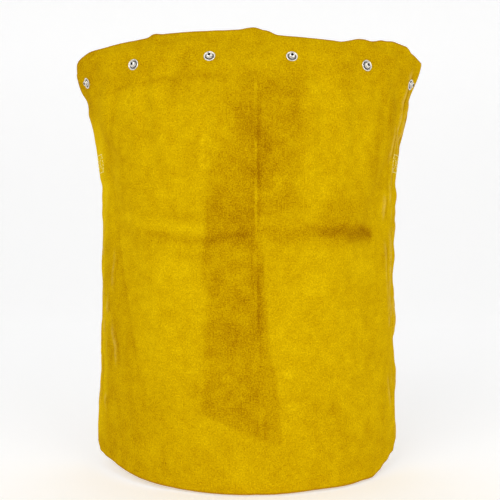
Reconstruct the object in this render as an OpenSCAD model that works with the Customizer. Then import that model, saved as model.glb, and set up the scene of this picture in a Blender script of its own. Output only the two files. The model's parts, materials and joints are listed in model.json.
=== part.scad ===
// Welding bib in its worn shape: one split-leather panel, six snap studs along the top
// edge, and a two-part webbing waist strap that closes behind the wearer with a
// side-release buckle. The front faces -Y, up is +Z, and the origin is the middle of the
// underside of the bounding box. Lengths are millimetres, angles degrees.

/* [Panel] */
// Flat width of the leather, from side edge to side edge
panel_w = 508; // [490:2:520]
// Height of the worn panel on its centre line
panel_h = 510; // [490:2:530]
// Thickness of the leather
leather_t = 1.6; // [1.2:0.1:2.2]
// How much lower the top corners sit than the middle of the top edge
top_drop = 19; // [10:1:30]
// How much higher the hem corners sit than the middle of the hem
hem_rise = 15; // [0:1:30]

/* [Wrap] */
// Angle the sheet has turned through at its side edges, at the flare height
wrap_mid = 77; // [70:0.5:84]
// The same angle at the top corners
wrap_top = 67.5; // [62:0.5:76]
// The same angle at the hem
wrap_hem = 75.5; // [70:0.5:84]
// How much flatter the front is than the sides below the flare, where 1 is a circle
wrap_power = 1; // [0.95:0.01:1.2]
// The same at the top corners
wrap_power_top = 1.44; // [1.2:0.01:1.5]
// Height above which the panel flares out over the chest
flare_z = 280; // [260:5:310]
// How far the middle of the top edge leans back
lean_back = 39; // [20:1:45]

/* [Snaps] */
// Number of snaps along the top edge
snap_count = 6; // [4:2:6]
// Distance between neighbouring snaps along the leather
snap_pitch = 92; // [80:1:92]
// Distance from the top edge down to the snap centres
snap_margin = 29; // [28:1:40]
// How far the whole row of snaps sits to one side of the panel's middle
snap_shift = 3; // [0:1:4]
// Radius of the stud's flange
stud_flange_r = 6.5; // [6:0.1:7]
// Radius of the stud's head, which the socket of the other garment grips
stud_head_r = 3.2; // [3:0.1:3.4]

/* [Waist strap] */
// Width of the webbing
web_w = 25; // [20:1:26]
// Thickness of the webbing
web_t = 1.5; // [1.2:0.1:1.6]
// Height of the strap's middle above the hem
strap_z = 370; // [350:2:380]
// Length of webbing sewn to the back of the leather
sewn_l = 38; // [34:1:44]
// Radius of the bend where the strap turns across the wearer's back
bend_r = 100; // [90:1:105]
// Length of the free tail beyond the ladder bars
tail_l = 62; // [40:1:66]

/* [Stitching] */
// Length of one stitch
stitch_l = 3.4; // [3:0.1:3.6]
// Distance from stitch to stitch
stitch_pitch = 4.4; // [4.2:0.1:5]
// Radius of the thread
thread_r = 0.4; // [0.3:0.05:0.45]

/* [Buckle] */
// Height of the buckle across the webbing
buckle_w = 34; // [32:1:36]
// Thickness of the socket
socket_t = 11; // [10.6:0.1:12]
// How far the plug reaches into the socket
plug_reach = 24; // [23:0.5:25]

/* [Hidden] */

$fn = 48;
leather = [0.80, 0.65, 0.05];
nickel = [0.80, 0.80, 0.82];
webbing = [0.07, 0.07, 0.08];
plastic = [0.05, 0.05, 0.06];
thread = [0.93, 0.90, 0.62];

half_w = panel_w / 2;
panel_columns = 48;      // facets across the leather
panel_rows = 16;         // facets up the leather
arc_steps = 24;          // steps used to follow one cross-section
flare_power = 2.55;      // how suddenly the flare starts
lean_z = 388;            // height above which the middle leans back
lean_fade = 0.84;        // share of the lean that is lost at the side edges

// ---- the worn shape: a sheet that turns through more and more of a curve towards its edges

function flare(z) = pow(max(0, z - flare_z) / (panel_h - top_drop - flare_z), flare_power);

function angle_at_edge(z) = z > flare_z
    ? wrap_mid + (wrap_top - wrap_mid) * flare(z)
    : wrap_mid + (wrap_hem - wrap_mid) * (1 - z / flare_z);

function power_at(z) = wrap_power + (wrap_power_top - wrap_power) * min(1, flare(z));

function angle_at(s, z) = angle_at_edge(z) * pow(abs(s) / half_w, power_at(z));

// how far [sideways, back] the sheet has gone after a length s from its centre line
function section(s, z) = let (step = abs(s) / arc_steps)
    [for (i = 0, p = [0, 0]; i <= arc_steps;
          p = p + step * [cos(angle_at((i + 0.5) * step, z)), sin(angle_at((i + 0.5) * step, z))],
          i = i + 1)
        if (i == arc_steps) [p[0] * sign(s), p[1]]][0];

function lean(s, z) = lean_back * pow(max(0, z - lean_z) / (panel_h - lean_z), 2)
    * (1 - lean_fade * pow(s / half_w, 2));

function edge_share(s) = pow(s / half_w, 2);
function hem_z(s) = hem_rise * edge_share(s);
function top_z(s) = panel_h - top_drop * edge_share(s);

// a point of the leather's middle surface, s along the leather from the centre line; the
// sheet's own frame starts at the leather's front face, and the model's at mid depth
function sheet_point(s, z) = let (q = section(s, z)) [q[0], leather_t / 2 + q[1] + lean(s, z), z];
function leather_point(s, z) = sheet_point(s, z) + [0, front_y, 0];

function unit(v) = v / norm(v);
probe = 0.5;
function across(s, z) = unit(sheet_point(s + probe, z) - sheet_point(s - probe, z));
function upward(s, z) = unit(sheet_point(s, z + probe) - sheet_point(s, z - probe));
function outward(s, z) = unit(cross(across(s, z), upward(s, z)));
function offset_point(s, z, h) = leather_point(s, z) + h * outward(s, z);

// children stand on the middle of the leather with +Z along the outward normal and +X along the leather
module on_leather(s, z) {
    n = outward(s, z);
    x = across(s, z);
    y = cross(n, x);
    p = leather_point(s, z);
    multmatrix([
        [x[0], y[0], n[0], p[0]],
        [x[1], y[1], n[1], p[1]],
        [x[2], y[2], n[2], p[2]],
        [0, 0, 0, 1]
    ]) children();
}

// a closed sheet between two faces of a grid: outer and inner are lists of rows of points
module sheet(outer, inner) {
    rows = len(outer);
    cols = len(outer[0]);
    function at(face, i, j) = face * rows * cols + i * cols + j;
    ring = concat(
        [for (j = [0 : cols - 2]) [0, j]],
        [for (i = [0 : rows - 2]) [i, cols - 1]],
        [for (j = [cols - 1 : -1 : 1]) [rows - 1, j]],
        [for (i = [rows - 1 : -1 : 1]) [i, 0]]
    );
    polyhedron(
        points = concat([for (r = outer) each r], [for (r = inner) each r]),
        faces = concat(
            [for (i = [0 : rows - 2], j = [0 : cols - 2])
                each [[at(0, i, j), at(0, i + 1, j), at(0, i + 1, j + 1)],
                      [at(0, i, j), at(0, i + 1, j + 1), at(0, i, j + 1)]]],
            [for (i = [0 : rows - 2], j = [0 : cols - 2])
                each [[at(1, i, j), at(1, i + 1, j + 1), at(1, i + 1, j)],
                      [at(1, i, j), at(1, i, j + 1), at(1, i + 1, j + 1)]]],
            [for (k = [0 : len(ring) - 1])
                let (a = ring[k], b = ring[(k + 1) % len(ring)])
                each [[at(0, a[0], a[1]), at(0, b[0], b[1]), at(1, b[0], b[1])],
                      [at(0, a[0], a[1]), at(1, b[0], b[1]), at(1, a[0], a[1])]]]
        )
    );
}

// ---- leather panel

module leather_panel() {
    function face(h) = [for (i = [0 : panel_rows])
        [for (j = [0 : panel_columns])
            let (s = half_w * (2 * j / panel_columns - 1),
                 z = hem_z(s) + (top_z(s) - hem_z(s)) * i / panel_rows)
            offset_point(s, z, h)]];
    color(leather)
    difference() {
        sheet(face(leather_t / 2), face(-leather_t / 2));
        at_snaps() cylinder(h = 8 * leather_t, r = barrel_r + barrel_gap, center = true);
    }
}

// ---- snaps: a stud on the front of the leather, riveted to an eyelet on the back

barrel_r = 2.1;
barrel_gap = 0.05;
eyelet_bore_r = 1.5;
eyelet_flange_r = 5.2;
stud_h = 3.8;
seat_bite = 0.15;        // how far each flange presses into the leather

function snap_s(i) = snap_shift + (i - (snap_count - 1) / 2) * snap_pitch;

module at_snaps() {
    for (i = [0 : snap_count - 1])
        on_leather(snap_s(i), top_z(snap_s(i)) - snap_margin) children();
}

// a rolled rim, a dished skirt, and a waisted head round the eyelet's barrel
module stud() {
    seat = leather_t / 2 - seat_bite;
    rim_r = 0.55;
    waist_r = stud_head_r - 0.35;
    translate([0, 0, seat]) rotate_extrude()
        union() {
            polygon([
                [barrel_r + barrel_gap, 0], [stud_flange_r - rim_r, 0],
                [stud_flange_r - rim_r, 0.8], [stud_head_r + 1.5, 0.62],
                [stud_head_r + 0.4, 0.9], [waist_r, 1.5],
                [waist_r, 2.0], [stud_head_r, 2.35],
                [stud_head_r, 3.25], [stud_head_r - 0.25, 3.6],
                [stud_head_r - 0.7, stud_h], [barrel_r + barrel_gap, stud_h]
            ]);
            translate([stud_flange_r - rim_r, rim_r]) circle(r = rim_r);
        }
}

// a flat flange behind the leather, a barrel through it, and a lip rolled over the stud
module eyelet() {
    flange_t = 0.75;
    flange_round = 0.3;
    lip = 0.5;
    roll_z = leather_t / 2 - seat_bite + stud_h + 0.02;
    back_z = -leather_t / 2 + seat_bite;
    rotate_extrude()
        polygon([
            [eyelet_bore_r, back_z - flange_t], [eyelet_flange_r - flange_round, back_z - flange_t],
            [eyelet_flange_r, back_z - flange_t + flange_round], [eyelet_flange_r, back_z],
            [barrel_r, back_z], [barrel_r, roll_z],
            [barrel_r + lip, roll_z], [barrel_r + lip, roll_z + 0.2],
            [barrel_r, roll_z + 0.45], [eyelet_bore_r + 0.2, roll_z + 0.35],
            [eyelet_bore_r, roll_z + 0.1]
        ]);
}

module snap_studs() { color(nickel) at_snaps() stud(); }
module snap_eyelets() { color(nickel) at_snaps() eyelet(); }

// ---- sewn strap ends: curved strips of webbing on the back of the leather

web_gap = 0.3;           // clearance between webbing and leather
hinge_gap = 1.1;         // webbing stops this far short of the swing axis, on each side
hinge_s = half_w + 2;    // the strap folds just beyond the leather's side edge
web_offset = -(leather_t / 2 + web_gap + web_t / 2);

module sewn_end(side) {
    columns = 10;
    rows = 2;
    s0 = half_w - sewn_l;
    s1 = hinge_s - hinge_gap;
    function face(h) = [for (i = [0 : rows])
        [for (j = [0 : columns])
            let (k = side > 0 ? j : columns - j)
            offset_point(side * (s0 + (s1 - s0) * k / columns),
                         strap_z + web_w * (i / rows - 0.5), web_offset + h)]];
    color(webbing) sheet(face(web_t / 2), face(-web_t / 2));
}

module strap_left_sewn_end() { sewn_end(-1); }
module strap_right_sewn_end() { sewn_end(1); }

// ---- box stitching: a rectangle with a cross, seen on the leather and on the webbing

thread_sink = 0.2;       // how far a pulled stitch sinks into the leather or the webbing
stitch_end = 2;          // left free of stitches at the ends of each line
box_l = 31;
box_inset = 2;           // from the webbing's edges to the stitch line
box_edge = 4;            // from the leather's side edge to the stitch line
box_h = web_w - 2 * box_inset;
box_s = half_w - box_edge - box_l / 2;

function corner(i) = [(i == 1 || i == 2 ? 0.5 : -0.5) * box_l, (i >= 2 ? 0.5 : -0.5) * box_h];
box_lines = [[corner(0), corner(1)], [corner(1), corner(2)], [corner(2), corner(3)],
             [corner(3), corner(0)], [corner(0), corner(2)], [corner(1), corner(3)]];

// thread laid between two surface points, on the face that stands h from the middle surface
module laid_stitch(side, a, b, h) {
    p = offset_point(side * (box_s + a[0]), strap_z + a[1], h);
    q = offset_point(side * (box_s + b[0]), strap_z + b[1], h);
    d = q - p;
    translate(p)
        rotate([0, acos(d[2] / norm(d)), atan2(d[1], d[0])])
            cylinder(h = norm(d), r = thread_r, $fn = 24);
}

module box_stitch(side) {
    front_h = leather_t / 2 + thread_r - thread_sink;
    back_h = web_offset - web_t / 2 - thread_r + thread_sink;
    color(thread)
    for (line = box_lines, h = [front_h, back_h]) {
        run = norm(line[1] - line[0]);
        dir = (line[1] - line[0]) / run;
        count = floor((run - stitch_end) / stitch_pitch);
        first = (run - (count - 1) * stitch_pitch - stitch_l) / 2;
        cross_line = dir[0] != 0 && dir[1] != 0;
        for (i = [0 : count - 1]) {
            t = first + i * stitch_pitch;
            middle = abs(t + stitch_l / 2 - run / 2) < stitch_l;
            // the second diagonal leaves out the stitch that would cross the first
            if (!(cross_line && dir[0] < 0 && middle))
                laid_stitch(side, line[0] + t * dir, line[0] + (t + stitch_l) * dir, h);
        }
    }
}

module box_stitch_left() { box_stitch(-1); }
module box_stitch_right() { box_stitch(1); }

// ---- waist strap: flat strips bent in plan, extruded to the webbing's width

edge_dir = across(half_w, strap_z);
edge_angle = atan2(edge_dir[1], edge_dir[0]);
along_edge = [cos(edge_angle), sin(edge_angle)];
sheet_edge = sheet_point(half_w, strap_z) + web_offset * outward(half_w, strap_z);
sheet_hinge = [sheet_edge[0], sheet_edge[1]] + (hinge_s - half_w) * along_edge;
sheet_bend = sheet_hinge + hinge_gap * along_edge + bend_r * [-along_edge[1], along_edge[0]];

bar_r = 2;                              // the socket's webbing bar
bar_gap = 0.1;                          // clearance between a bar and the webbing round it
loop_r = bar_r + bar_gap + web_t / 2;   // middle of the webbing round that bar
depth = sheet_bend[1] + bend_r + loop_r + socket_t / 2;
front_y = -depth / 2;

hinge_point = sheet_hinge + [0, front_y];
bend_centre = sheet_bend + [0, front_y];
back_y = bend_centre[1] + bend_r;       // middle of the webbing across the back
buckle_y = back_y + loop_r;             // middle plane of the buckle

function arc(c, r, a0, a1, n) = [for (i = [0 : n])
    let (a = a0 + (a1 - a0) * i / n)
    c + r * [cos(a), sin(a)]];
bend = arc(bend_centre, bend_r, edge_angle - 90, 90, 16);

function direction(path, i) = unit(path[i + 1] - path[i]);
function mitre(path, i) = let (
        last = len(path) - 1,
        a = direction(path, max(0, i - 1)),
        b = direction(path, min(last - 1, i)),
        na = [-a[1], a[0]],
        m = unit(na + [-b[1], b[0]]))
    m / (m * na);

module strip(path, t, w) {
    last = len(path) - 1;
    translate([0, 0, -w / 2]) linear_extrude(w)
        polygon(concat(
            [for (i = [0 : last]) path[i] + mitre(path, i) * t / 2],
            [for (i = [last : -1 : 0]) path[i] - mitre(path, i) * t / 2]));
}

layer_gap = 0.12;
layer = web_t + layer_gap;              // distance between two layers of webbing
fold = 1.2;                             // how much a fold cuts the corner

// the left strap loops round the socket's bar and is sewn back to itself
loop_back = 34;
loop_rows = [14, 19, 24, 29];           // rows of stitches, measured back from the bar
loop_near = 8;                          // the strap leaves its run here, going to the bar
loop_off = 3;                           // and leaves the bar here
loop_down = 10;                         // and lies on its run from here

module strap_left() {
    run = [for (p = bend) [-p[0], p[1]]];
    loop = arc([bar_x, buckle_y], loop_r, -90, 90, 10);
    path = concat(run, [[bar_x - loop_near, back_y]], loop,
        [[bar_x - loop_off, buckle_y + loop_r], [bar_x - loop_down, back_y + layer],
         [bar_x - loop_back, back_y + layer]]);
    color(webbing) translate([0, 0, strap_z]) strip(path, web_t, web_w);
}

// the right strap comes in on the wearer's side, turns over bar a and leaves as the free tail
module strap_right() {
    over_y = buckle_y + bar_h / 2 + bar_gap + web_t / 2;
    tight = 0.8;
    path = concat(bend, [
        [slot_a_x + fold, back_y], [slot_a_x, back_y + fold],
        [slot_a_x, over_y - tight], [slot_a_x + tight, over_y],
        [slot_b_x - fold, over_y], [slot_b_x, over_y - fold],
        [slot_b_x, back_y + layer + 1], [slot_b_x + 1, back_y + layer],
        [slot_b_x + tail_l, back_y + layer]]);
    color(webbing) translate([0, 0, strap_z]) strip(path, web_t, web_w);
}

stitch_gap = 0.02;       // clearance under a stitch that isn't pulled in
edge_free = 3;           // of the webbing's width that a row of stitches leaves out

// rows of upright stitches on the outer face of a strap
module stitch_rows(xs, y) {
    count = floor((web_w - edge_free) / stitch_pitch);
    color(thread)
    for (x = xs, i = [0 : count - 1])
        translate([x, y, strap_z + (i - count / 2) * stitch_pitch + (stitch_pitch - stitch_l) / 2])
            cylinder(h = stitch_l, r = thread_r, $fn = 24);
}

module strap_loop_stitch() {
    y = back_y + layer + web_t / 2 + thread_r + stitch_gap;
    stitch_rows([for (row = loop_rows) bar_x - row], y);
}

tail_rows = [4, 10];     // rows of stitches, measured back from the tail's end

module tail_hem_stitch() {
    y = back_y + layer + web_t / 2 + thread_r + stitch_gap;
    stitch_rows([for (row = tail_rows) slot_b_x + tail_l - row], y);
}

// ---- side-release buckle, lying across the back with its windows above and below

mouth_x = 7;                            // the socket's open end
bar_x = -25.5;                          // the socket's webbing bar
socket_back_x = -19.5;
socket_wall = 2.2;
cavity_z = buckle_w / 2 - 3.4;
window_x0 = -14;
window_x1 = -3.4;
bar_h = 3.2;
body_x = mouth_x + 0.3;                 // the plug's shoulder, which stops against the mouth
slot_a_x = 12.5;
slot_b_x = 19.4;
plug_end_x = 26.2;
plug_t = 7;
web_room = 0.7;                         // clearance beside the webbing's edges
rail_z = web_w / 2 + web_room;
corner_r = 3;                           // corners of the socket and of the plug
cut = 1;                                // how far a cutting shape passes the surface
scoop_r = 8;                            // finger scoops
scoop_out = 5;                          // their centres lie this far outside the buckle

// a plate in the XZ plane with round corners, from corner a to corner b, thickness t about y = 0
module plate(a, b, r, t) {
    rotate([90, 0, 0]) translate([0, 0, -t / 2]) linear_extrude(t) union() {
        translate([a[0] + r, a[1]]) square([b[0] - a[0] - 2 * r, b[1] - a[1]]);
        translate([a[0], a[1] + r]) square([b[0] - a[0], b[1] - a[1] - 2 * r]);
        for (x = [a[0] + r, b[0] - r], z = [a[1] + r, b[1] - r]) translate([x, z]) circle(r = r);
    }
}

module box_between(a, b) { translate(a) cube(b - a); }

module buckle_socket() {
    half = buckle_w / 2;
    inner_half_t = socket_t / 2 - socket_wall;
    color(plastic) translate([0, buckle_y, strap_z])
    difference() {
        plate([bar_x - bar_r - 1, -half], [mouth_x, half], corner_r, socket_t);
        // hollow that takes the plug
        box_between([socket_back_x + 1.5, -inner_half_t, -cavity_z],
                    [mouth_x + cut, inner_half_t, cavity_z]);
        // windows for the prongs
        for (side = [-1, 1])
            box_between([window_x0, -inner_half_t, side > 0 ? cavity_z - cut : -half - cut],
                        [window_x1, inner_half_t, side > 0 ? half + cut : -cavity_z + cut]);
        // finger scoops over the windows, on both faces
        for (side = [-1, 1], face = [-1, 1])
            translate([(window_x0 + window_x1) / 2, face * socket_t / 2, side * (half + scoop_out)])
                rotate([90, 0, 0]) cylinder(r = scoop_r, h = 2 * socket_wall, center = true);
        // room for the webbing around the bar
        difference() {
            box_between([bar_x - bar_r - 2, -socket_t, -rail_z], [socket_back_x, socket_t, rail_z]);
            translate([bar_x, 0, -rail_z - cut]) cylinder(r = bar_r, h = 2 * (rail_z + cut));
        }
    }
}

prong_root_z = 9.2;
prong_t = 4;
guide_t = 3.4;          // guide tongue, front to back
tongue_h = 3.2;         // and across
root_cut = 0.4;         // slit where the prong's flexing root is taken as a hinge
stub_l = 1.5;           // stubs that the prongs flex from
stub_h = 3;
overlap = 0.5;          // how far joined shapes run into each other
bar_inset = 1.7;        // from the slots' middles to bar a

module buckle_plug() {
    half = buckle_w / 2;
    color(plastic) translate([0, buckle_y, strap_z]) {
        difference() {
            plate([body_x, -half], [plug_end_x, half], corner_r, plug_t);
            box_between([slot_a_x - 2, -plug_t, -rail_z], [plug_end_x + cut, plug_t, rail_z]);
        }
        // bar a carries the turn of the webbing, bar b presses the tail down
        box_between([slot_a_x + bar_inset, -bar_h / 2, -rail_z - overlap],
                    [slot_b_x - bar_inset, bar_h / 2, rail_z + overlap]);
        box_between([slot_b_x + 3, back_y + layer + web_t / 2 + bar_gap - buckle_y, -rail_z - overlap],
                    [plug_end_x, plug_t / 2, rail_z + overlap]);
        // guide tongue between the prongs
        box_between([mouth_x - plug_reach + 3, -guide_t / 2, -tongue_h / 2],
                    [body_x + overlap, guide_t / 2, tongue_h / 2]);
        for (side = [-1, 1])
            box_between([body_x - stub_l, -prong_t / 2, side * prong_root_z - stub_h / 2],
                        [body_x + overlap, prong_t / 2, side * prong_root_z + stub_h / 2]);
    }
}

// one prong, drawn above the centre: a thin arm with a barb that fills the window
module prong(side) {
    tip_x = mouth_x - plug_reach;
    root_x = body_x - stub_l - root_cut;
    barb_h = 1.8;
    outer_z = cavity_z + barb_h;
    color(plastic) translate([0, buckle_y, strap_z]) mirror([0, 0, side > 0 ? 0 : 1])
        rotate([90, 0, 0]) translate([0, 0, -prong_t / 2]) linear_extrude(prong_t)
            polygon([
                [root_x, prong_root_z - 1.3], [root_x, prong_root_z + 1.3],
                [window_x1 + 2, prong_root_z + 2.1], [window_x1 - 0.4, prong_root_z + 2.6],
                [window_x1 - 0.4, outer_z - 1.2], [window_x1 - 1.6, outer_z],
                [window_x0 + 4.5, outer_z - 0.8], [window_x0 + 0.5, cavity_z - 1.6],
                [tip_x + 1, prong_root_z + 0.8], [tip_x, prong_root_z - 1.2],
                [tip_x + 1.2, prong_root_z - 2.6], [window_x0 + 4, prong_root_z - 1.2]
            ]);
}

module prong_upper() { prong(1); }
module prong_lower() { prong(-1); }

leather_panel();
snap_studs();
snap_eyelets();
strap_left_sewn_end();
strap_right_sewn_end();
box_stitch_left();
box_stitch_right();
strap_left();
strap_loop_stitch();
buckle_socket();
strap_right();
tail_hem_stitch();
buckle_plug();
prong_upper();
prong_lower();
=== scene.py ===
"""Looks of a welding bib worn curved round the body: one sheet of yellow split leather, press
studs along its top edge, box stitching at the waist, and a webbing strap with a buckle behind.

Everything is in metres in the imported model's own frame. Places on the leather are given as
(s, z): s is measured along the leather from the centre line, z is height above the hem.
"""

import json
import math
import random

import bmesh
import bpy
import numpy as np
from mathutils import Matrix, Vector


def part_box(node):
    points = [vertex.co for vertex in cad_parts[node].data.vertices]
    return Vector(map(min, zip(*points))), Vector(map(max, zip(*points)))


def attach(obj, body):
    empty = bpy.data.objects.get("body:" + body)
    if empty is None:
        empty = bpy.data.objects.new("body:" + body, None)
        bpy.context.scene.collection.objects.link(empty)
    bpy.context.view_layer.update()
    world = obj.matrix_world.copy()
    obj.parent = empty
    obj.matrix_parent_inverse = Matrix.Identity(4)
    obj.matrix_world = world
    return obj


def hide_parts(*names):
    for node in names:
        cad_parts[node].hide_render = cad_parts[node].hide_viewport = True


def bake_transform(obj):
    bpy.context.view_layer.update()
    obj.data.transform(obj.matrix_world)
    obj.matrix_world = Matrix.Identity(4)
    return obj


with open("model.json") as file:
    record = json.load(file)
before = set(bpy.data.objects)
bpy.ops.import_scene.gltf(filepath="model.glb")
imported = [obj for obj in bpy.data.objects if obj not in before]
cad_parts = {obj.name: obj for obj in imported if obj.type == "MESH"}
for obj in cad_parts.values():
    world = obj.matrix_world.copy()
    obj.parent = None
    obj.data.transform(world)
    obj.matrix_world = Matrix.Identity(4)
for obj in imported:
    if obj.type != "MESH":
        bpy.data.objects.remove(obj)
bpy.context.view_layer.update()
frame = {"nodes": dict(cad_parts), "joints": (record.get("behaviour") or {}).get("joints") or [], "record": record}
RECORD = frame["record"]
MM = 0.001

# ---- the sheet's design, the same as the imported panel's

HALF_W = 254 * MM
PANEL_H = 510 * MM
TOP_DROP = 19 * MM          # the top corners sit this much lower than the middle
HEM_RISE = 15 * MM          # and the hem corners this much higher
LEATHER_T = 1.6 * MM
WRAP_MID = math.radians(77)
WRAP_TOP = math.radians(67.5)
WRAP_HEM = math.radians(75.5)
WRAP_POWER = 1.0
WRAP_POWER_TOP = 1.44
FLARE_Z = 280 * MM
FLARE_POWER = 2.55
LEAN_BACK = 39 * MM
LEAN_Z = 388 * MM
LEAN_FADE = 0.84
SECTION_STEPS = 24
FRONT_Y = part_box("leather_panel")[0].y

STRAP_Z = frame["joints"][0]["pos_m"][2]
SEWN_L = 38 * MM
BOX_L = 31 * MM
WEB_W = 25 * MM
WEB_T = 1.5 * MM
BOX_S = HALF_W - 4 * MM - BOX_L / 2     # middle of the box stitch
STUDS = [m for m in RECORD["mounts"] if m["kind"] == "pin"]
SNAP_PITCH = 92 * MM
SNAP_SHIFT = 3 * MM
SNAP_MARGIN = 29 * MM
SNAPS_S = [SNAP_SHIFT + (i - 2.5) * SNAP_PITCH for i in range(6)]


def flare(z):
    return (np.clip(z - FLARE_Z, 0, None) / (PANEL_H - TOP_DROP - FLARE_Z)) ** FLARE_POWER


def edge_angle(z):
    above = WRAP_MID + (WRAP_TOP - WRAP_MID) * flare(z)
    below = WRAP_MID + (WRAP_HEM - WRAP_MID) * (1 - z / FLARE_Z)
    return np.where(z > FLARE_Z, above, below)


def sheet_point(s, z):
    """Points of the undraped middle surface, as an array of xyz."""
    s, z = np.broadcast_arrays(np.asarray(s, float), np.asarray(z, float))
    power = WRAP_POWER + (WRAP_POWER_TOP - WRAP_POWER) * np.minimum(1, flare(z))
    step = (np.arange(SECTION_STEPS) + 0.5) / SECTION_STEPS
    share = np.abs(s)[..., None] * step / HALF_W
    angle = edge_angle(z)[..., None] * share ** power[..., None]
    x = s * np.cos(angle).mean(-1)
    back = np.abs(s) * np.sin(angle).mean(-1)
    lean = LEAN_BACK * (np.clip(z - LEAN_Z, 0, None) / (PANEL_H - LEAN_Z)) ** 2
    back = back + lean * (1 - LEAN_FADE * (s / HALF_W) ** 2)
    return np.stack([x, FRONT_Y + LEATHER_T / 2 + back, z], -1)


def hem_z(s):
    return HEM_RISE * (s / HALF_W) ** 2


def top_z(s):
    return PANEL_H - TOP_DROP * (s / HALF_W) ** 2


# ---- smooth helpers

LATTICE = 64                # the noise repeats after this many bumps


def smooth(t):
    t = np.clip(t, 0, 1)
    return t * t * (3 - 2 * t)


def curve_through(points, x):
    """A smooth curve through (x, y) pairs, flat at each of them."""
    xs = np.array([p[0] for p in points], float)
    ys = np.array([p[1] for p in points], float)
    x = np.clip(x, xs[0], xs[-1])
    k = np.clip(np.searchsorted(xs, x, side="right") - 1, 0, len(xs) - 2)
    t = (x - xs[k]) / (xs[k + 1] - xs[k])
    return ys[k] + (ys[k + 1] - ys[k]) * smooth(t)


def soft_span(x, low, high, soft):
    """1 from low to high and 0 beyond, over soft ends."""
    return smooth((x - low) / soft + 0.5) * smooth((high - x) / soft + 0.5)


def soft_box(s, z, s0, s1, z0, z1, soft):
    """1 inside a rectangle and 0 outside it, over a soft border. All in millimetres."""
    return soft_span(s, s0, s1, soft) * soft_span(z, z0, z1, soft)


def lattice(seed):
    return np.random.default_rng(seed).uniform(-1, 1, (LATTICE, LATTICE))


def value_noise(a, b, seed):
    """Smooth noise from -1 to 1 with one bump per unit of a and b."""
    grid = lattice(seed)
    i = np.floor(a).astype(int)
    j = np.floor(b).astype(int)
    u = smooth(a - i)
    v = smooth(b - j)
    g00 = grid[i % LATTICE, j % LATTICE]
    g10 = grid[(i + 1) % LATTICE, j % LATTICE]
    g01 = grid[i % LATTICE, (j + 1) % LATTICE]
    g11 = grid[(i + 1) % LATTICE, (j + 1) % LATTICE]
    return (g00 * (1 - u) + g10 * u) * (1 - v) + (g01 * (1 - u) + g11 * u) * v


def layered_noise(a, b, seed, octaves=3):
    total = 0
    for k in range(octaves):
        total = total + value_noise(a * 2 ** k + 7.3 * k, b * 2 ** k + 3.1 * k, seed + k) / 2 ** k
    return total / 1.6


# ---- how the leather hangs: outline, creases and ripples (millimetres)

TOP_WAVE = [(-254, -6), (-240, -2.5), (-196, 1.5), (-140, 2.4), (-88, 5.8), (-30, 5.6), (4, 6.8),
            (18, 6.4), (33, -1), (73, -2), (106, -3.6), (146, 2.6), (168, 8), (187, 10.5), (209, 9.5),
            (224, 4), (254, 1)]
HEM_WAVE = [(-254, 5), (-208, 2.5), (-120, -1), (-80, -2), (0, -2), (69, -2), (139, -5), (165, -7),
            (184, -5), (200, -1), (228, 3), (244, 12), (254, 20)]
FOLD_LINE = [(-254, 300), (-174, 299), (-118, 288), (-60, 281), (8, 288), (116, 288), (166, 285),
             (254, 285)]
FOLD_S = 10                     # where the skin was folded in half, side to side
# fine lines of painted shade and painted highlight beside that fold: offset, how dark, width, seed
FOLD_FINE_LINES = [(-1.6, -0.40, 1.2, 0.5), (1.8, 0.26, 1.6, 1.5), (5.5, 0.16, 1.2, 2.5),
                   (-6, 0.12, 1.3, 3.5), (10, 0.10, 1.1, 4.5)]
# marks pressed in by studs while the bibs lay stacked: place and radius
RINGS = [(-46, 382, 5.4), (-48, 362, 5.4), (-146, 434, 5.4), (50, 94, 3.4), (44, 128, 2.6),
         (-24, 126, 2.6)]
# small upright wrinkles near the sides, each with a painted highlight along it that is partly rubbed nap, and
# painted shade beside it: place, strength, from, to, seed
WRINKLE_LINES = [(-188, 0.7, 120, 270, 1.5), (-205, 0.5, 60, 220, 2.5), (-226, 0.9, 150, 440, 3.5),
              (-236, 0.8, 40, 330, 4.5), (200, 0.8, 190, 345, 3.1), (206, 0.9, 240, 420, 9.5),
              (212, 0.6, 60, 250, 5.5), (216, 1.0, 170, 350, 11.7),
              (222, 1.0, 90, 490, 6.5), (236, 1.0, 20, 470, 7.5), (246, 0.9, 200, 490, 8.5)]
# upright dark streaks on the left: place, from, to
DARK_STREAKS = [(-127, 8, 118), (-99, 12, 112), (-176, 372, 446), (-164, 320, 390), (-196, 350, 420)]


def grid_z(s, v):
    """Height of the leather's lines, from v = 0 at the hem to v = 1 at the top edge."""
    top = top_z(s) + MM * curve_through(TOP_WAVE, s / MM)
    hem = hem_z(s) + MM * curve_through(HEM_WAVE, s / MM)
    return hem + (top - hem) * v


def ridge(d, width):
    """A rounded bump of height 1 centred on d = 0."""
    return np.exp(-((d / width) ** 2))


def fixed_places(s, z):
    """0 where studs and sewn straps hold the leather to its designed shape, 1 elsewhere."""
    free = np.ones_like(s)
    for snap in SNAPS_S:
        centre_z = top_z(snap) - SNAP_MARGIN
        away = np.hypot(s - snap, z - centre_z) / MM
        free = free * smooth((away - 7) / 22)
    across = (np.abs(np.abs(s) - BOX_S) - BOX_L / 2 - 4 * MM) / MM
    up = (np.abs(z - STRAP_Z) - WEB_W / 2 - 2 * MM) / MM
    return free * smooth(np.maximum(across, up) / 22)


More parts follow.
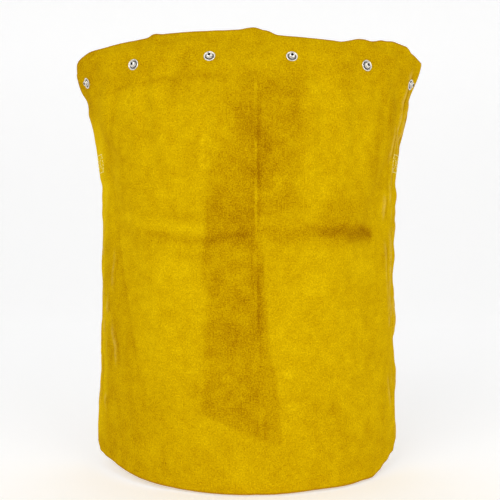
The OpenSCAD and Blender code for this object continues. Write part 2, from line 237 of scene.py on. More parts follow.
def ripple(s, z):
    """Distance in millimetres that the leather stands out from its designed surface."""
    a, b = s / MM, z / MM
    out = 2.0 * layered_noise(a / 130 + 3, b / 150 + 9, 11, 2)
    out += 0.8 * layered_noise(a / 42 + 1, b / 60 + 4, 21, 2)
    # folded in half and half again: a crease down the middle and one across
    down = a - FOLD_S - 2.5 * value_noise(b / 40, b * 0 + 0.5, 31)
    out += (0.9 * smooth((b - 250) / 60) - 0.75) * ridge(down, 7) - 0.35 * ridge(down, 2)
    line = curve_through(FOLD_LINE, a)
    out -= (0.55 + 0.5 * ridge(a - 135, 38)) * ridge(b - line + 3, 8)
    out += 0.6 * ridge(b - line - 9, 7)
    # the crease's far end on the right is pushed in to a wedge, with a sharp upper lip
    wedge = smooth((a - 108) / 34) * smooth((174 - a) / 10)
    out -= wedge * ridge((b - line + 0.16 * (a - 108)) / (5 + 0.14 * np.abs(a - 100)), 1)
    out += 0.7 * wedge * ridge(b - line - 7 + 0.12 * (a - 140), 3)
    # the strip that carries the studs was creased along its lower edge
    strip = top_z(s) / MM - 50
    strip_crease = ridge(b - strip - 3 * value_noise(a / 60, a * 0, 41), 5)
    out -= 0.45 * strip_crease * smooth((240 - np.abs(a)) / 60)
    # upright ripples where the sides turn away, stronger on the right
    side = smooth((np.abs(a) - 170) / 60)
    phase = a / 9.5 + 1.6 * value_noise(a / 50 + 5, b / 55 + 5, 51)
    strength = np.where(a > 0, 0.9, 0.45)
    out += side * strength * np.sin(phase * 2) * (0.6 + 0.6 * value_noise(a / 60, b / 70 + 2, 61))
    edge = smooth((np.abs(a) - 215) / 39)
    flutter = np.sin(b / 13 + np.where(a > 0, 0.4, 2.1)) * value_noise(b / 90, a * 0 + 2.2, 71)
    out += edge * (1.5 * flutter + 1.2 * value_noise(b / 38, np.sign(a) * 3 + 9.5, 81))
    # the lower left corner kicks out, and the sides draw in above and below the straps
    left = smooth((-165 - a) / 80)
    right = smooth((a - 165) / 80)
    out += (4.6 * ridge(b - 40, 50) - 3.4 * ridge(b - 322, 34) - 3.0 * ridge(b - 410, 24)) * left
    out -= 3.4 * ridge(b - 416, 26) * right
    rim = smooth((np.abs(a) - 222) / 30)
    out += 0.6 * rim * value_noise(b / 15, np.sign(a) * 3 + 6.5, 82)
    out += 0.5 * smooth((a - 196) / 30) * value_noise(b / 16 + a / 14, a / 30, 83)
    for place, strength, low, high, seed in WRINKLE_LINES:
        out += 1.9 * strength * wrinkle_line(a, b, place, 5.0, low, high, seed)
    return out + settled(s, z)


def wrinkle_line(a, b, place, width, low, high, seed):
    """An upright wandering line near a side edge, 1 on the line and 0 away from it."""
    row = a * 0 + 2.37 * seed
    wander = 9 * value_noise(b / (40 + 3 * seed), row, 91)
    wander += 2.6 * value_noise(b / (11 + seed), row + 9, 92)
    strength = smooth(0.45 + 1.3 * value_noise(b / (20 + 2 * seed), row + 5, 93))
    width = width * (0.75 + 0.5 * value_noise(b / 17, row + 14, 94))
    return ridge(a - place - wander, width) * strength * smooth((b - low) / 25) * smooth((high - b) / 25)


SETTLE_COUNT = 56               # cells of the drape simulation, each way
SETTLE_LIMIT = 2.5              # millimetres the simulation may move the leather
SETTLE_FRAMES = 40
SMOOTHING_ROUNDS = 30           # neighbour averages that leave only the broad movement
SETTLED = np.zeros((SETTLE_COUNT + 1, SETTLE_COUNT + 1))


def settled(s, z):
    """The simulated drape, in millimetres out from the designed surface."""
    if not SETTLED.any():
        return 0.0 * s
    v = np.clip((z - hem_z(s)) / (top_z(s) - hem_z(s)), 0, 1) * SETTLE_COUNT
    u = np.clip((s / HALF_W + 1) / 2, 0, 1) * SETTLE_COUNT
    row = np.clip(np.floor(v).astype(int), 0, SETTLE_COUNT - 1)
    column = np.clip(np.floor(u).astype(int), 0, SETTLE_COUNT - 1)
    near_rows = [np.clip(row + k, 0, SETTLE_COUNT) for k in (-1, 0, 1, 2)]
    near_columns = [np.clip(column + k, 0, SETTLE_COUNT) for k in (-1, 0, 1, 2)]
    upward = [cubic([SETTLED[i, j] for i in near_rows], v - row) for j in near_columns]
    return cubic(upward, u - column)


def cubic(p, t):
    """Catmull-Rom curve through four values, t from 0 at the second to 1 at the third."""
    bend = 2 * p[0] - 5 * p[1] + 4 * p[2] - p[3]
    return p[1] + 0.5 * t * (p[2] - p[0] + t * (bend + t * (3 * (p[1] - p[2]) + p[3] - p[0])))


def simulate_drape():
    """Lets the sheet hang from its studs and sewn straps against a body, and keeps how it settled."""
    count = SETTLE_COUNT + 1
    s, v = np.meshgrid(np.linspace(-HALF_W, HALF_W, count), np.linspace(0, 1, count))
    z = hem_z(s) + (top_z(s) - hem_z(s)) * v
    start = sheet_point(s, z)
    normal = grid_normals(start)
    faces = grid_faces(count, count)
    body = new_mesh("torso", (start - normal * 5 * MM).reshape(-1, 3), faces)
    body.modifiers.new("body", "COLLISION")
    body.collision.thickness_outer = 1 * MM
    body.collision.damping = 0.6
    sheet = new_mesh("hanging_sheet", start.reshape(-1, 3), faces)
    held = sheet.vertex_groups.new(name="held")
    free = fixed_places(s, z).ravel()
    for index, looseness in enumerate(free):
        held.add([index], 1.0 if looseness < 0.05 else 0.10 * (1 - looseness) + 0.03, "REPLACE")
    cloth = sheet.modifiers.new("leather", "CLOTH")
    settings = cloth.settings
    settings.quality = 6
    settings.mass = 0.4
    settings.tension_stiffness = settings.compression_stiffness = settings.shear_stiffness = 80
    settings.bending_stiffness = 12
    settings.tension_damping = settings.compression_damping = settings.shear_damping = 25
    settings.bending_damping = 5
    settings.air_damping = 2
    settings.shrink_min = settings.shrink_max = -0.02
    settings.vertex_group_mass = "held"
    settings.pin_stiffness = 1.0
    cloth.collision_settings.distance_min = 1 * MM
    cloth.collision_settings.use_self_collision = False
    cloth.point_cache.frame_start = 1
    cloth.point_cache.frame_end = SETTLE_FRAMES
    scene = bpy.context.scene
    for k in range(1, SETTLE_FRAMES + 1):
        scene.frame_set(k)
    evaluated = sheet.evaluated_get(bpy.context.evaluated_depsgraph_get())
    ended = np.zeros(count * count * 3)
    evaluated.data.vertices.foreach_get("co", ended)
    scene.frame_set(1)
    moved = np.sum((ended.reshape(count, count, 3) - start) * normal, axis=-1) / MM
    bpy.data.objects.remove(sheet)
    bpy.data.objects.remove(body)
    # the broad movement is taken out, so that the sheet keeps its designed outline
    broad = moved.copy()
    for _ in range(SMOOTHING_ROUNDS):
        padded = np.pad(broad, 1, mode="edge")
        broad = (padded[:-2, 1:-1] + padded[2:, 1:-1] + padded[1:-1, :-2] + padded[1:-1, 2:]) / 4
    SETTLED[:] = SETTLE_LIMIT * np.tanh((moved - broad) / SETTLE_LIMIT)


def draped(s, z):
    """Points of the leather's middle surface as it hangs."""
    probe = 0.5 * MM
    across = sheet_point(s + probe, z) - sheet_point(s - probe, z)
    upward = sheet_point(s, z + probe) - sheet_point(s, z - probe)
    normal = np.cross(across, upward)
    normal /= np.linalg.norm(normal, axis=-1, keepdims=True)
    out = MM * ripple(s, z) * fixed_places(s, z)
    return sheet_point(s, z) + normal * out[..., None]


def leather_frame(s, z):
    """Point, direction across, direction up and outward normal at one place on the leather."""
    probe = 0.6 * MM
    pts = draped(np.array([s, s + probe, s - probe, s, s]), np.array([z, z, z, z + probe, z - probe]))
    x = Vector(pts[1] - pts[2]).normalized()
    y = Vector(pts[3] - pts[4]).normalized()
    n = x.cross(y).normalized()
    return Vector(pts[0]), x, n.cross(x), n


# ---- mesh helpers

def add_object(name, data):
    obj = bpy.data.objects.new(name, data)
    bpy.context.scene.collection.objects.link(obj)
    return obj


def new_mesh(name, verts, faces):
    mesh = bpy.data.meshes.new(name)
    mesh.from_pydata([tuple(v) for v in verts], [], faces)
    mesh.validate()
    mesh.update()
    mesh.shade_smooth()
    return add_object(name, mesh)


def use_material(obj, material):
    obj.data.materials.clear()
    obj.data.materials.append(material)


def apply_modifiers(obj):
    bpy.context.view_layer.objects.active = obj
    for modifier in list(obj.modifiers):
        with bpy.context.temp_override(object=obj, active_object=obj, selected_objects=[obj]):
            bpy.ops.object.modifier_apply(modifier=modifier.name)


def float_attribute(obj, name, values):
    attribute = obj.data.attributes.new(name, "FLOAT", "POINT")
    attribute.data.foreach_set("value", np.asarray(values, np.float32).ravel())


def set_uv(obj, name, u, v):
    """Writes a UV layer from one (u, v) pair per vertex."""
    layer = obj.data.uv_layers.new(name=name)
    loops = np.zeros(len(obj.data.loops), np.int32)
    obj.data.loops.foreach_get("vertex_index", loops)
    layer.data.foreach_set("uv", np.stack([u[loops], v[loops]], -1).astype(np.float32).ravel())


def grid_faces(rows, columns, first=0, turned=False):
    """Quads of a grid of points, row by row; first is the number of its first point."""
    faces = []
    for i in range(rows - 1):
        for j in range(columns - 1):
            a = first + i * columns + j
            b, c, d = a + 1, a + columns + 1, a + columns
            faces.append((a, d, c, b) if turned else (a, b, c, d))
    return faces


def grid_normals(points):
    """Unit normals of a grid of points whose rows run across and whose columns run up."""
    normal = np.cross(np.gradient(points, axis=1), np.gradient(points, axis=0))
    return normal / np.linalg.norm(normal, axis=-1, keepdims=True)


def run_length(points):
    """Distance along a line of points, from its start to each of them."""
    return np.concatenate([[0], np.cumsum(np.linalg.norm(np.diff(points, axis=0), axis=1))])


def bridge(bm, rings):
    """Faces between rings of vertices, and a cap on both ends."""
    for r1, r2 in zip(rings, rings[1:]):
        for j in range(len(r1)):
            j2 = (j + 1) % len(r1)
            bm.faces.new((r1[j], r1[j2], r2[j2], r2[j]))
    bm.faces.new(rings[0][::-1])
    bm.faces.new(rings[-1])


# ---- node helpers

class Nodes:
    """Short calls for building a node tree."""

    def __init__(self, tree):
        self.tree = tree
        tree.nodes.clear()

    def add(self, kind, inputs=None, **settings):
        """A new node with its settings, and its inputs set or linked."""
        node = self.tree.nodes.new(kind)
        for key, value in settings.items():
            setattr(node, key, value)
        for key, value in (inputs or {}).items():
            self.put(node.inputs[key], value)
        return node

    def put(self, socket, value):
        if hasattr(value, "is_output"):
            self.tree.links.new(value, socket)
        else:
            socket.default_value = value


class Material(Nodes):
    """One material with a principled shader."""

    def __init__(self, name):
        self.material = bpy.data.materials.new(name)
        self.material.use_nodes = True
        super().__init__(self.material.node_tree)
        self.shader = self.add("ShaderNodeBsdfPrincipled")
        self.add("ShaderNodeOutputMaterial", {"Surface": self.shader.outputs[0]})

    def set(self, name, value):
        self.put(self.shader.inputs[name], value)

    def attribute(self, name):
        return self.add("ShaderNodeAttribute", attribute_name=name).outputs["Fac"]

    def math(self, operation, a, b=0.0, clamp=False):
        inputs = {0: a, 1: b}
        return self.add("ShaderNodeMath", inputs, operation=operation, use_clamp=clamp).outputs[0]

    def noise(self, vector, scale, detail, roughness, stretch=None):
        if stretch is not None:
            vector = self.add("ShaderNodeMapping", {"Scale": stretch, "Vector": vector}).outputs[0]
        inputs = {"Vector": vector, "Scale": scale, "Detail": detail, "Roughness": roughness}
        return self.add("ShaderNodeTexNoise", inputs).outputs["Fac"]

    def mix(self, factor, a, b):
        return self.add("ShaderNodeMix", {0: factor, 6: a, 7: b}, data_type="RGBA").outputs[2]

    def span(self, value, low, high, to_low=0.0, to_high=1.0):
        inputs = {0: value, 1: low, 2: high, 3: to_low, 4: to_high}
        return self.add("ShaderNodeMapRange", inputs).outputs[0]

    def bump(self, height, strength, distance, below=None):
        inputs = {"Strength": strength, "Distance": distance, "Height": height}
        if below is not None:
            inputs["Normal"] = below
        return self.add("ShaderNodeBump", inputs).outputs[0]

    def place(self):
        return self.add("ShaderNodeTexCoord").outputs["Object"]


def rgb(r, g, b):
    """A colour given as screen values from 0 to 255."""
    def linear(c):
        c /= 255
        return c / 12.92 if c <= 0.04045 else ((c + 0.055) / 1.055) ** 2.4
    return linear(r), linear(g), linear(b), 1.0


# ---- materials

def suede_material():
    m = Material("split_leather")
    uv = m.add("ShaderNodeUVMap", uv_map="sheet").outputs[0]
    stain = m.attribute("stain")
    edge = m.attribute("cut_edge")
    cloud = m.noise(uv, 22, 4, 0.6)
    patch = m.noise(uv, 75, 4, 0.62)
    nap = m.noise(uv, 330, 3, 0.7, stretch=(1.0, 0.75, 1.0))
    grit = m.noise(uv, 620, 2, 0.7)
    rubbed = m.attribute("rubbed")
    tone = m.math("ADD", stain, m.span(cloud, 0.3, 0.7, -0.10, 0.10))
    tone = m.math("ADD", tone, m.span(patch, 0.25, 0.75, -0.17, 0.17))
    tone = m.math("ADD", tone, m.span(nap, 0.25, 0.75, -0.20, 0.20))
    tone = m.math("ADD", tone, m.span(grit, 0.3, 0.7, 0.35 - 0.42, 0.35 + 0.42))
    hair = m.noise(uv, 2300, 3, 0.75, stretch=(1.0, 0.35, 1.0))
    tone = m.math("ADD", tone, m.span(hair, 0.3, 0.7, -0.22, 0.22))
    tone = m.math("MULTIPLY", tone, 1 / 1.35)
    ramp = m.add("ShaderNodeValToRGB")
    stops = ((0.0, rgb(231, 195, 8)), (0.26, rgb(212, 173, 3)), (0.48, rgb(199, 159, 2)),
             (0.70, rgb(183, 138, 1)), (1.0, rgb(150, 101, 1)))
    while len(ramp.color_ramp.elements) < len(stops):
        ramp.color_ramp.elements.new(0.5)
    for element, (at, colour) in zip(ramp.color_ramp.elements, stops):
        element.position = at
        element.color = colour
    m.put(ramp.inputs[0], tone)
    # painted highlight, partly rubbed nap: pale lines along the side wrinkles
    raised = m.math("MULTIPLY", rubbed, m.span(nap, 0.3, 0.7, 0.34, 0.66))
    wear_and_highlight = m.mix(raised, ramp.outputs[0], rgb(224, 188, 92))
    colour = m.mix(m.math("MULTIPLY", edge, 0.8), wear_and_highlight, rgb(168, 112, 14))
    m.set("Base Color", colour)
    m.set("Roughness", 0.95)
    m.set("Specular IOR Level", 0.0)
    m.set("Sheen Weight", 0.12)
    m.set("Sheen Roughness", 0.4)
    m.set("Sheen Tint", rgb(240, 205, 70))
    pebble = m.bump(patch, 0.35, 0.0012)
    fibre = m.bump(nap, 0.5, 0.0006, pebble)
    nubs = m.bump(grit, 0.45, 0.00025, fibre)
    m.set("Normal", m.bump(hair, 0.35, 0.0001, nubs))
    return m.material


def nickel_material():
    m = Material("nickel_plate")
    place = m.place()
    brushed = m.noise(place, 2600, 3, 0.6)
    wear_and_highlight = m.noise(place, 260, 4, 0.6)
    plate = m.mix(m.span(wear_and_highlight, 0.35, 0.7), rgb(240, 238, 232), rgb(214, 210, 200))
    recess = m.attribute("recess")
    # painted shade: the dish round the head and the bore are painted near black
    recess_shade = m.math("MULTIPLY", recess, m.span(wear_and_highlight, 0.2, 0.6, 1.15, 0.95), clamp=True)
    m.set("Base Color", m.mix(recess_shade, plate, rgb(22, 18, 12)))
    m.set("Metallic", m.span(recess, 0.0, 1.0, 1.0, 0.0))
    polish = m.span(wear_and_highlight, 0.3, 0.75, 0.14, 0.26)
    m.set("Roughness", m.math("ADD", polish, m.span(recess, 0.0, 1.0, 0.0, 0.6)))
    m.set("Normal", m.bump(brushed, 0.06, 0.00003))
    return m.material


def thread_material(name, colour, shade):
    m = Material(name)
    place = m.place()
    fibre = m.noise(place, 5200, 3, 0.7)
    tone = m.noise(place, 320, 2, 0.5)
    base = m.mix(m.span(tone, 0.3, 0.7), colour, shade)
    m.set("Base Color", m.mix(m.span(fibre, 0.35, 0.8, 0.0, 0.5), base, shade))
    m.set("Roughness", 0.7)
    m.set("Sheen Weight", 0.3)
    m.set("Normal", m.bump(fibre, 0.5, 0.00008))
    return m.material


def webbing_material():
    """Black polyester webbing: upright ribs crossed by picks, laid out along the strap."""
    m = Material("woven_webbing")
    uv = m.add("ShaderNodeUVMap", uv_map="weave").outputs[0]
    parts = m.add("ShaderNodeSeparateXYZ", {0: uv})
    rib = m.math("MULTIPLY", parts.outputs[1], 1 / (1.3 * MM))
    pick = m.math("MULTIPLY", parts.outputs[0], 1 / (1.9 * MM))
    odd = m.math("MULTIPLY", m.math("FLOOR", rib), 0.5)
    across = m.math("SINE", m.math("MULTIPLY", m.math("FRACT", rib), math.pi))
    along = m.math("SINE", m.math("MULTIPLY", m.math("FRACT", m.math("ADD", pick, odd)), math.pi))
    height = m.math("MULTIPLY", m.math("POWER", across, 0.6), m.math("POWER", along, 0.6))
    place = m.place()
    fibre = m.noise(uv, 3800, 3, 0.7, stretch=(0.35, 1.0, 1.0))
    dust = m.noise(place, 60, 4, 0.6)
    # painted shade and highlight: the gaps between yarns are painted darker and the yarn tops lighter
    thread = m.mix(m.span(height, 0.15, 0.95), rgb(13, 13, 14), rgb(50, 50, 54))
    thread = m.mix(m.span(fibre, 0.35, 0.8, 0.0, 0.45), thread, rgb(72, 72, 78))
    m.set("Base Color", m.mix(m.span(dust, 0.5, 0.85, 0.0, 0.22), thread, rgb(104, 92, 66)))
    m.set("Roughness", m.span(height, 0.0, 1.0, 0.75, 0.5))
    m.set("Sheen Weight", 0.25)
    m.set("Specular IOR Level", 0.35)
    m.set("Normal", m.bump(fibre, 0.25, 0.00008, m.bump(height, 0.9, 0.0003)))
    return m.material


def plastic_material():
    """Moulded acetal: satin black with a fine spark-eroded grain, polished where it rubs."""
    m = Material("moulded_plastic")
    place = m.place()
    grain = m.noise(place, 3400, 2, 0.6)
    handled = m.noise(place, 120, 4, 0.65)
    m.set("Base Color", m.mix(m.span(handled, 0.3, 0.75), rgb(24, 24, 26), rgb(44, 44, 47)))
    m.set("Roughness", m.span(handled, 0.3, 0.75, 0.34, 0.52))
    m.set("Specular IOR Level", 0.5)
    m.set("Normal", m.bump(grain, 0.25, 0.00006))
    return m.material


LEATHER = suede_material()
WEBBING = webbing_material()
PLASTIC = plastic_material()
NICKEL = nickel_material()
PALE_THREAD = thread_material("pale_thread", rgb(252, 243, 146), rgb(226, 208, 86))
BLACK_THREAD = thread_material("black_thread", rgb(34, 34, 36), rgb(16, 16, 18))


# ---- leather panel

GRID_STEP = 2.5 * MM
PANEL_COLUMNS = round(2 * HALF_W / GRID_STEP)
PANEL_ROWS = round(PANEL_H / GRID_STEP)
EDGE_THINNED = 0.45             # share of the thickness rounded away at the cut edge
EDGE_SWELL = 0.45 * MM          # how far the middle of the cut edge stands out
CORNER_R = {(-1, 1): 13 * MM, (1, 1): 3 * MM, (-1, 0): 5 * MM, (1, 0): 4 * MM}


def rounded_corners(s, z):
    """Pulls the grid's corner points in onto rounded corners of the cut sheet."""
    for (side, top), radius in CORNER_R.items():
        corner_s = side * HALF_W
        corner_z = grid_z(np.array(corner_s), np.array(float(top)))
        ds = (side * (corner_s - s)) / radius
        dz = (corner_z - z) / radius if top else (z - corner_z) / radius
        near = (ds < 1) & (dz < 1)
        p = 1 - np.clip(ds, 0, 1)
        q = 1 - np.clip(dz, 0, 1)
        big = np.maximum(p, q)
        length = np.hypot(p, q)
        shrink = np.where(length > 1e-9, big / np.maximum(length, 1e-9), 1)
        s = np.where(near, s + side * radius * p * (shrink - 1), s)
        z = np.where(near, z + (1 if top else -1) * radius * q * (shrink - 1), z)
    return s, z


# dark and pale fields of the hide, and at both side edges a pale field of painted highlight where the sides turn
# away: how much evenly, how much blotched, then the box and its border
PATCHES = [(0.08, 0.34, -20, 68, 398, 458, 32), (0.06, 0.36, 0, 56, 306, 404, 30),
           (0.07, 0.22, 88, 172, 284, 324, 18), (0.16, 0, -280, -196, 396, 520, 30),
           (0, 0.26, 66, 124, 46, 98, 22), (-0.09, 0, -130, -52, 130, 268, 34),
           (-0.08, 0, 30, 190, 60, 268, 40), (-0.32, 0, -270, -212, 40, 420, 22),
           (-0.08, 0, 205, 270, 40, 400, 22)]


def stain_and_shade_field(s, z):
    """How dark each place is: uneven dye in fields, blotches and streaks, painted shade along the creases and
    beside the side wrinkles, and painted highlight at the side edges and beside the creases.
    """
    x, y = s / MM, z / MM
    zero = 0 * x
    a = x + 7 * layered_noise(x / 26, y / 26, 101)
    b = y + 7 * layered_noise(x / 26 + 20, y / 26, 111)
    blotch = 0.5 + 0.5 * layered_noise(x / 17 + 4, y / 17 + 8, 121)
    dark = 0.20 + zero
    for even, blotched, *place in PATCHES:
        dark += (even + blotched * blotch) * soft_box(a, b, *place)
    left_edge = np.interp(b, [336, 374, 418], [-48, -30, -14])
    dark += 0.24 * smooth((a - left_edge) / 14 + 0.5) * soft_box(a, b, -60, 2, 322, 412, 20)
    # the band left of the fold, deeper towards its foot, and the narrow one right of it
    above_foot = smooth((y - np.interp(x, [-48, 38], [84, 50])) / 6 + 0.5)
    band = smooth((a + 48) / 9 + 0.5) * smooth((10 - a) / 9 + 0.5) * smooth((322 - b) / 20 + 0.5)
    dark += (0.22 + 0.17 * blotch - 0.04 * smooth((170 - b) / 60)) * band * above_foot
    right_edge = np.interp(b, [52, 134, 156, 276], [38, 30, 24, 15])
    strip = smooth((right_edge - x) / 3 + 0.5) * smooth((x - 9) / 5 + 0.5) * smooth((268 - b) / 30)
    dark += (0.16 + 0.22 * blotch) * strip * above_foot
    # the upright crease, darkened with painted shade, and fine lines of painted shade and painted highlight beside
    # it
    fold = x - FOLD_S - 1
    dark += 0.22 * ridge(fold, 5) * soft_box(a, b, -20, 40, 150, 270, 50)
    dark += (0.12 + 0.2 * blotch) * ridge(fold, 7) * soft_box(a, b, -20, 40, 326, 384, 30)
    reach = smooth((y - 44) / 30) * smooth((474 - y) / 30)
    slant = 0.05 * np.clip(200 - y, 0, None)
    for offset, amount, width, seed in FOLD_FINE_LINES:
        broken = smooth(0.45 + 1.3 * value_noise(y / 22, zero + seed, 171))
        wander = 1.2 * value_noise(y / 30, zero + seed, 172)
        dark += amount * broken * ridge(x - FOLD_S - offset - slant - wander, width) * reach
    # the level crease and the pushed-in wedge at its right end, darkened with painted shade, and a pale line of
    # painted highlight above the crease on the left
    below = y - curve_through(FOLD_LINE, x)
    dark += 0.36 * ridge(below + 4, 10) * smooth((x - 4) / 30) * smooth((172 - x) / 20)
    dark += 0.26 * ridge(below + 6, 5) * soft_box(x, y, -112, 4, 240, 340, 30)
    dark -= 0.20 * ridge(below - 7, 7) * soft_box(x, y, -165, -50, 240, 340, 30)
    reach = 172 - x
    width = 6 + 0.16 * np.clip(reach, 0, 60)
    wedge = smooth((x - 92) / 54) * smooth(reach / 5) * ridge((below + 4) / width, 1)
    dark += (0.12 + 0.22 * blotch) * wedge
    lip = ridge(below + 6 - 0.36 * reach, 2.6) * smooth((x - 134) / 14) * smooth(reach / 5)
    dark += 0.34 * lip
    # the border of the paler field on the left, and streaks further out
    border = np.interp(b, [0, 130, 200, 280], [-128, -136, -158, -180])
    dark += 0.13 * smooth((border - x) / 12 + 0.5) * soft_box(a, b, -280, 0, -40, 276, 26)
    dark += 0.20 * ridge(x - border, 2.6) * soft_box(a, b, -280, 0, 120, 280, 30)
    for place, low, high in DARK_STREAKS:
        upright = ridge(x - place - 3 * value_noise(y / 40, zero + place, 181), 4.5)
        dark += (0.066 + 0.112 * blotch) * upright * soft_span(y, low, high, 20)
    dark += 0.10 * smooth((b - 440) / 30)
    streaks = 0.5 + 0.5 * value_noise(x / 7, y / 60 + 3, 131)
    dark += 0.3 * streaks * soft_box(a, b, 160, 216, 340, 450, 22)
    # painted shade along the crease under the studs' strip, on the left half
    dark += 0.17 * ridge(b - top_z(s) / MM + 51, 4) * smooth((-10 - a) / 20)
    # painted shade beside each side wrinkle's painted highlight
    for place, strength, low, high, seed in WRINKLE_LINES:
        dark += 0.48 * strength * wrinkle_line(x, y, place + 6.5, 3.6, low, high, seed)
    dark += 0.11 * layered_noise(x / 11, y / 13, 161, 2)
    dark += 0.07 * layered_noise(x / 40, y / 34, 162, 2)
    for ring_s, ring_z, radius in RINGS:
        away = np.hypot(x - ring_s, y - ring_z)
        dark += 0.07 * ridge(away, 0.6 * radius) - 0.36 * ridge(away - radius, 1.2)
    return dark


def back_stain_field(s, z):
    """How dark each place is on the inner face: softer blotches, and both creases."""
    x, y = s / MM, z / MM
    below = y - curve_through(FOLD_LINE, x)
    dark = 0.34 + 0.20 * layered_noise(x / 46, y / 40, 141) + 0.10 * layered_noise(x / 10, y / 12, 142, 2)
    dark -= 0.22 * ridge(x - FOLD_S, 2.5) + 0.18 * ridge(below, 2.5)
    return dark + 0.22 * ridge(x - FOLD_S - 5, 4) + 0.16 * ridge(below + 6, 4)


def highlight_and_rubbed_field(s, z):
    """How pale the wrinkles near the sides are: thin lines of painted highlight along them, partly rubbed nap."""
    pale = 0.0 * s
    for place, strength, low, high, seed in WRINKLE_LINES:
        beads = 0.8 + 0.6 * value_noise(z / MM / 5, s / MM / 7 + seed, 95)
        pale += 1.15 * beads * strength * wrinkle_line(s / MM, z / MM, place, 3.4, low, high, seed)
    return np.clip(pale, 0, 1)


def rim_places(rows, cols):
    """Row and column of the grid's outer points, once round."""
    rim = [(0, j) for j in range(cols)]
    rim += [(i, cols - 1) for i in range(1, rows)]
    rim += [(rows - 1, j) for j in range(cols - 2, -1, -1)]
    return rim + [(i, 0) for i in range(rows - 2, 0, -1)]


def leather_panel():
    """The sheet as a closed mesh: a front and a back grid joined by a rounded cut edge."""
    u = np.linspace(-HALF_W, HALF_W, PANEL_COLUMNS + 1)
    v = np.linspace(0, 1, PANEL_ROWS + 1)
    s, vv = np.meshgrid(u, v)
    z = grid_z(s, vv)
    s, z = rounded_corners(s, z)
    mid = draped(s, z)
    normal = grid_normals(mid)
    rows, cols = s.shape
    count = rows * cols
    half_t = LEATHER_T / 2
    to_edge = np.minimum(HALF_W - np.abs(s), np.minimum(vv, 1 - vv) * PANEL_H)
    edge = np.where(to_edge < 0.1 * MM, 1.0, 0.0)
    offset = normal * (half_t * (1 - EDGE_THINNED * edge))[..., None]
    rim = rim_places(rows, cols)
    rim_out = []
    for i, j in rim:
        inner = (min(max(i, 1), rows - 2), min(max(j, 1), cols - 2))
        away = mid[i, j] - mid[inner]
        away -= normal[i, j] * np.dot(away, normal[i, j])
        rim_out.append(mid[i, j] + away / max(np.linalg.norm(away), 1e-9) * EDGE_SWELL)
    verts = np.concatenate([(mid + offset).reshape(-1, 3), (mid - offset).reshape(-1, 3), rim_out])

    faces = grid_faces(rows, cols) + grid_faces(rows, cols, count, turned=True)
    for k, (i, j) in enumerate(rim):
        k2 = (k + 1) % len(rim)
        a, b = i * cols + j, rim[k2][0] * cols + rim[k2][1]
        r1, r2 = 2 * count + k, 2 * count + k2
        faces.append((b, a, r1, r2))
        faces.append((count + a, count + b, r2, r1))
    panel = new_mesh("leather_sheet", verts, faces)

    rim_s = np.array([s[p] for p in rim])
    rim_z = np.array([z[p] for p in rim])
    all_s = np.concatenate([s.ravel(), s.ravel(), rim_s])
    all_z = np.concatenate([z.ravel(), z.ravel(), rim_z])
    none = 0 * s
    for name, on_front, on_back, on_rim in (("stain", stain_and_shade_field(s, z), back_stain_field(s, z), 0.3),
                                            ("rubbed", highlight_and_rubbed_field(s, z), none, 0),
                                            ("cut_edge", edge, edge, 1)):
        values = np.concatenate([on_front.ravel(), on_back.ravel(), rim_s * 0 + on_rim])
        float_attribute(panel, name, values)
    back_shift = np.where(np.arange(len(all_s)) >= count, 1.7, 0.0)
    set_uv(panel, "sheet", all_s + back_shift, all_z)
    use_material(panel, LEATHER)
    punch_stud_holes(panel)
    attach(panel, "bib")
    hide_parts("leather_panel")


STUD_HOLE_R = 2.15 * MM
MOUNT_UP = 2.8 * MM             # from the flange's underside to the mount, half way up the head's side
STUD_SUNK = 0.15 * MM           # the flange is pressed this deep into the leather


def stud_pose(mount):
    """Matrix that stands a stud on the leather: +Z is its axis, and z = 0 the middle of the leather."""
    axis = Vector(mount["axis"]).normalized()
    mount_height = LEATHER_T / 2 - STUD_SUNK + MOUNT_UP
    origin = Vector(mount["pos_m"]) - axis * mount_height
    side = Vector((0, 0, 1)).cross(axis).normalized()
    turn = Matrix((side, axis.cross(side), axis)).transposed().to_4x4()
    return Matrix.Translation(origin) @ turn


def punch_stud_holes(panel):
    cutter_mesh = bmesh.new()
    for mount in STUDS:
        bmesh.ops.create_cone(cutter_mesh, cap_ends=True, segments=32, radius1=STUD_HOLE_R,
                              radius2=STUD_HOLE_R, depth=8 * LEATHER_T, matrix=stud_pose(mount))
    mesh = bpy.data.meshes.new("punch")
    cutter_mesh.to_mesh(mesh)
    cutter_mesh.free()
    cutter = add_object("punch", mesh)
    modifier = panel.modifiers.new("holes", "BOOLEAN")
    modifier.operation = "DIFFERENCE"
    modifier.solver = "EXACT"
    modifier.object = cutter
    apply_modifiers(panel)
    bpy.data.objects.remove(cutter)


simulate_drape()
leather_panel()


# ---- press studs: turned profiles, radius and height in millimetres above the leather's middle

LATHE_SEGMENTS = 72


def lathe(name, profile, pose):
    """A closed turned solid from a closed (radius, height) outline."""
    verts = []
    faces = []
    n = len(profile)
    for k in range(LATHE_SEGMENTS):
        a = 2 * math.pi * k / LATHE_SEGMENTS
        for r, h in profile:
            verts.append(pose @ Vector((r * MM * math.cos(a), r * MM * math.sin(a), h * MM)))
    for k in range(LATHE_SEGMENTS):
        k2 = (k + 1) % LATHE_SEGMENTS
        for i in range(n):
            i2 = (i + 1) % n
            faces.append((k * n + i, k2 * n + i, k2 * n + i2, k * n + i2))
    obj = new_mesh(name, verts, faces)
    shades = [recess_share(r, h) for r, h in profile]
    float_attribute(obj, "recess", np.array(shades * LATHE_SEGMENTS))
    return obj


def recess_share(r, h):
    """1 down in the dish round the head and inside the bore, painted dark as painted shade, 0 on the high spots.
    """
    if r < 1.7 and h < 4.86:
        return 1.0
    return 0.9 if 3.4 < r < 4.9 and SEAT + 0.2 < h < SEAT + 1.2 else 0.0


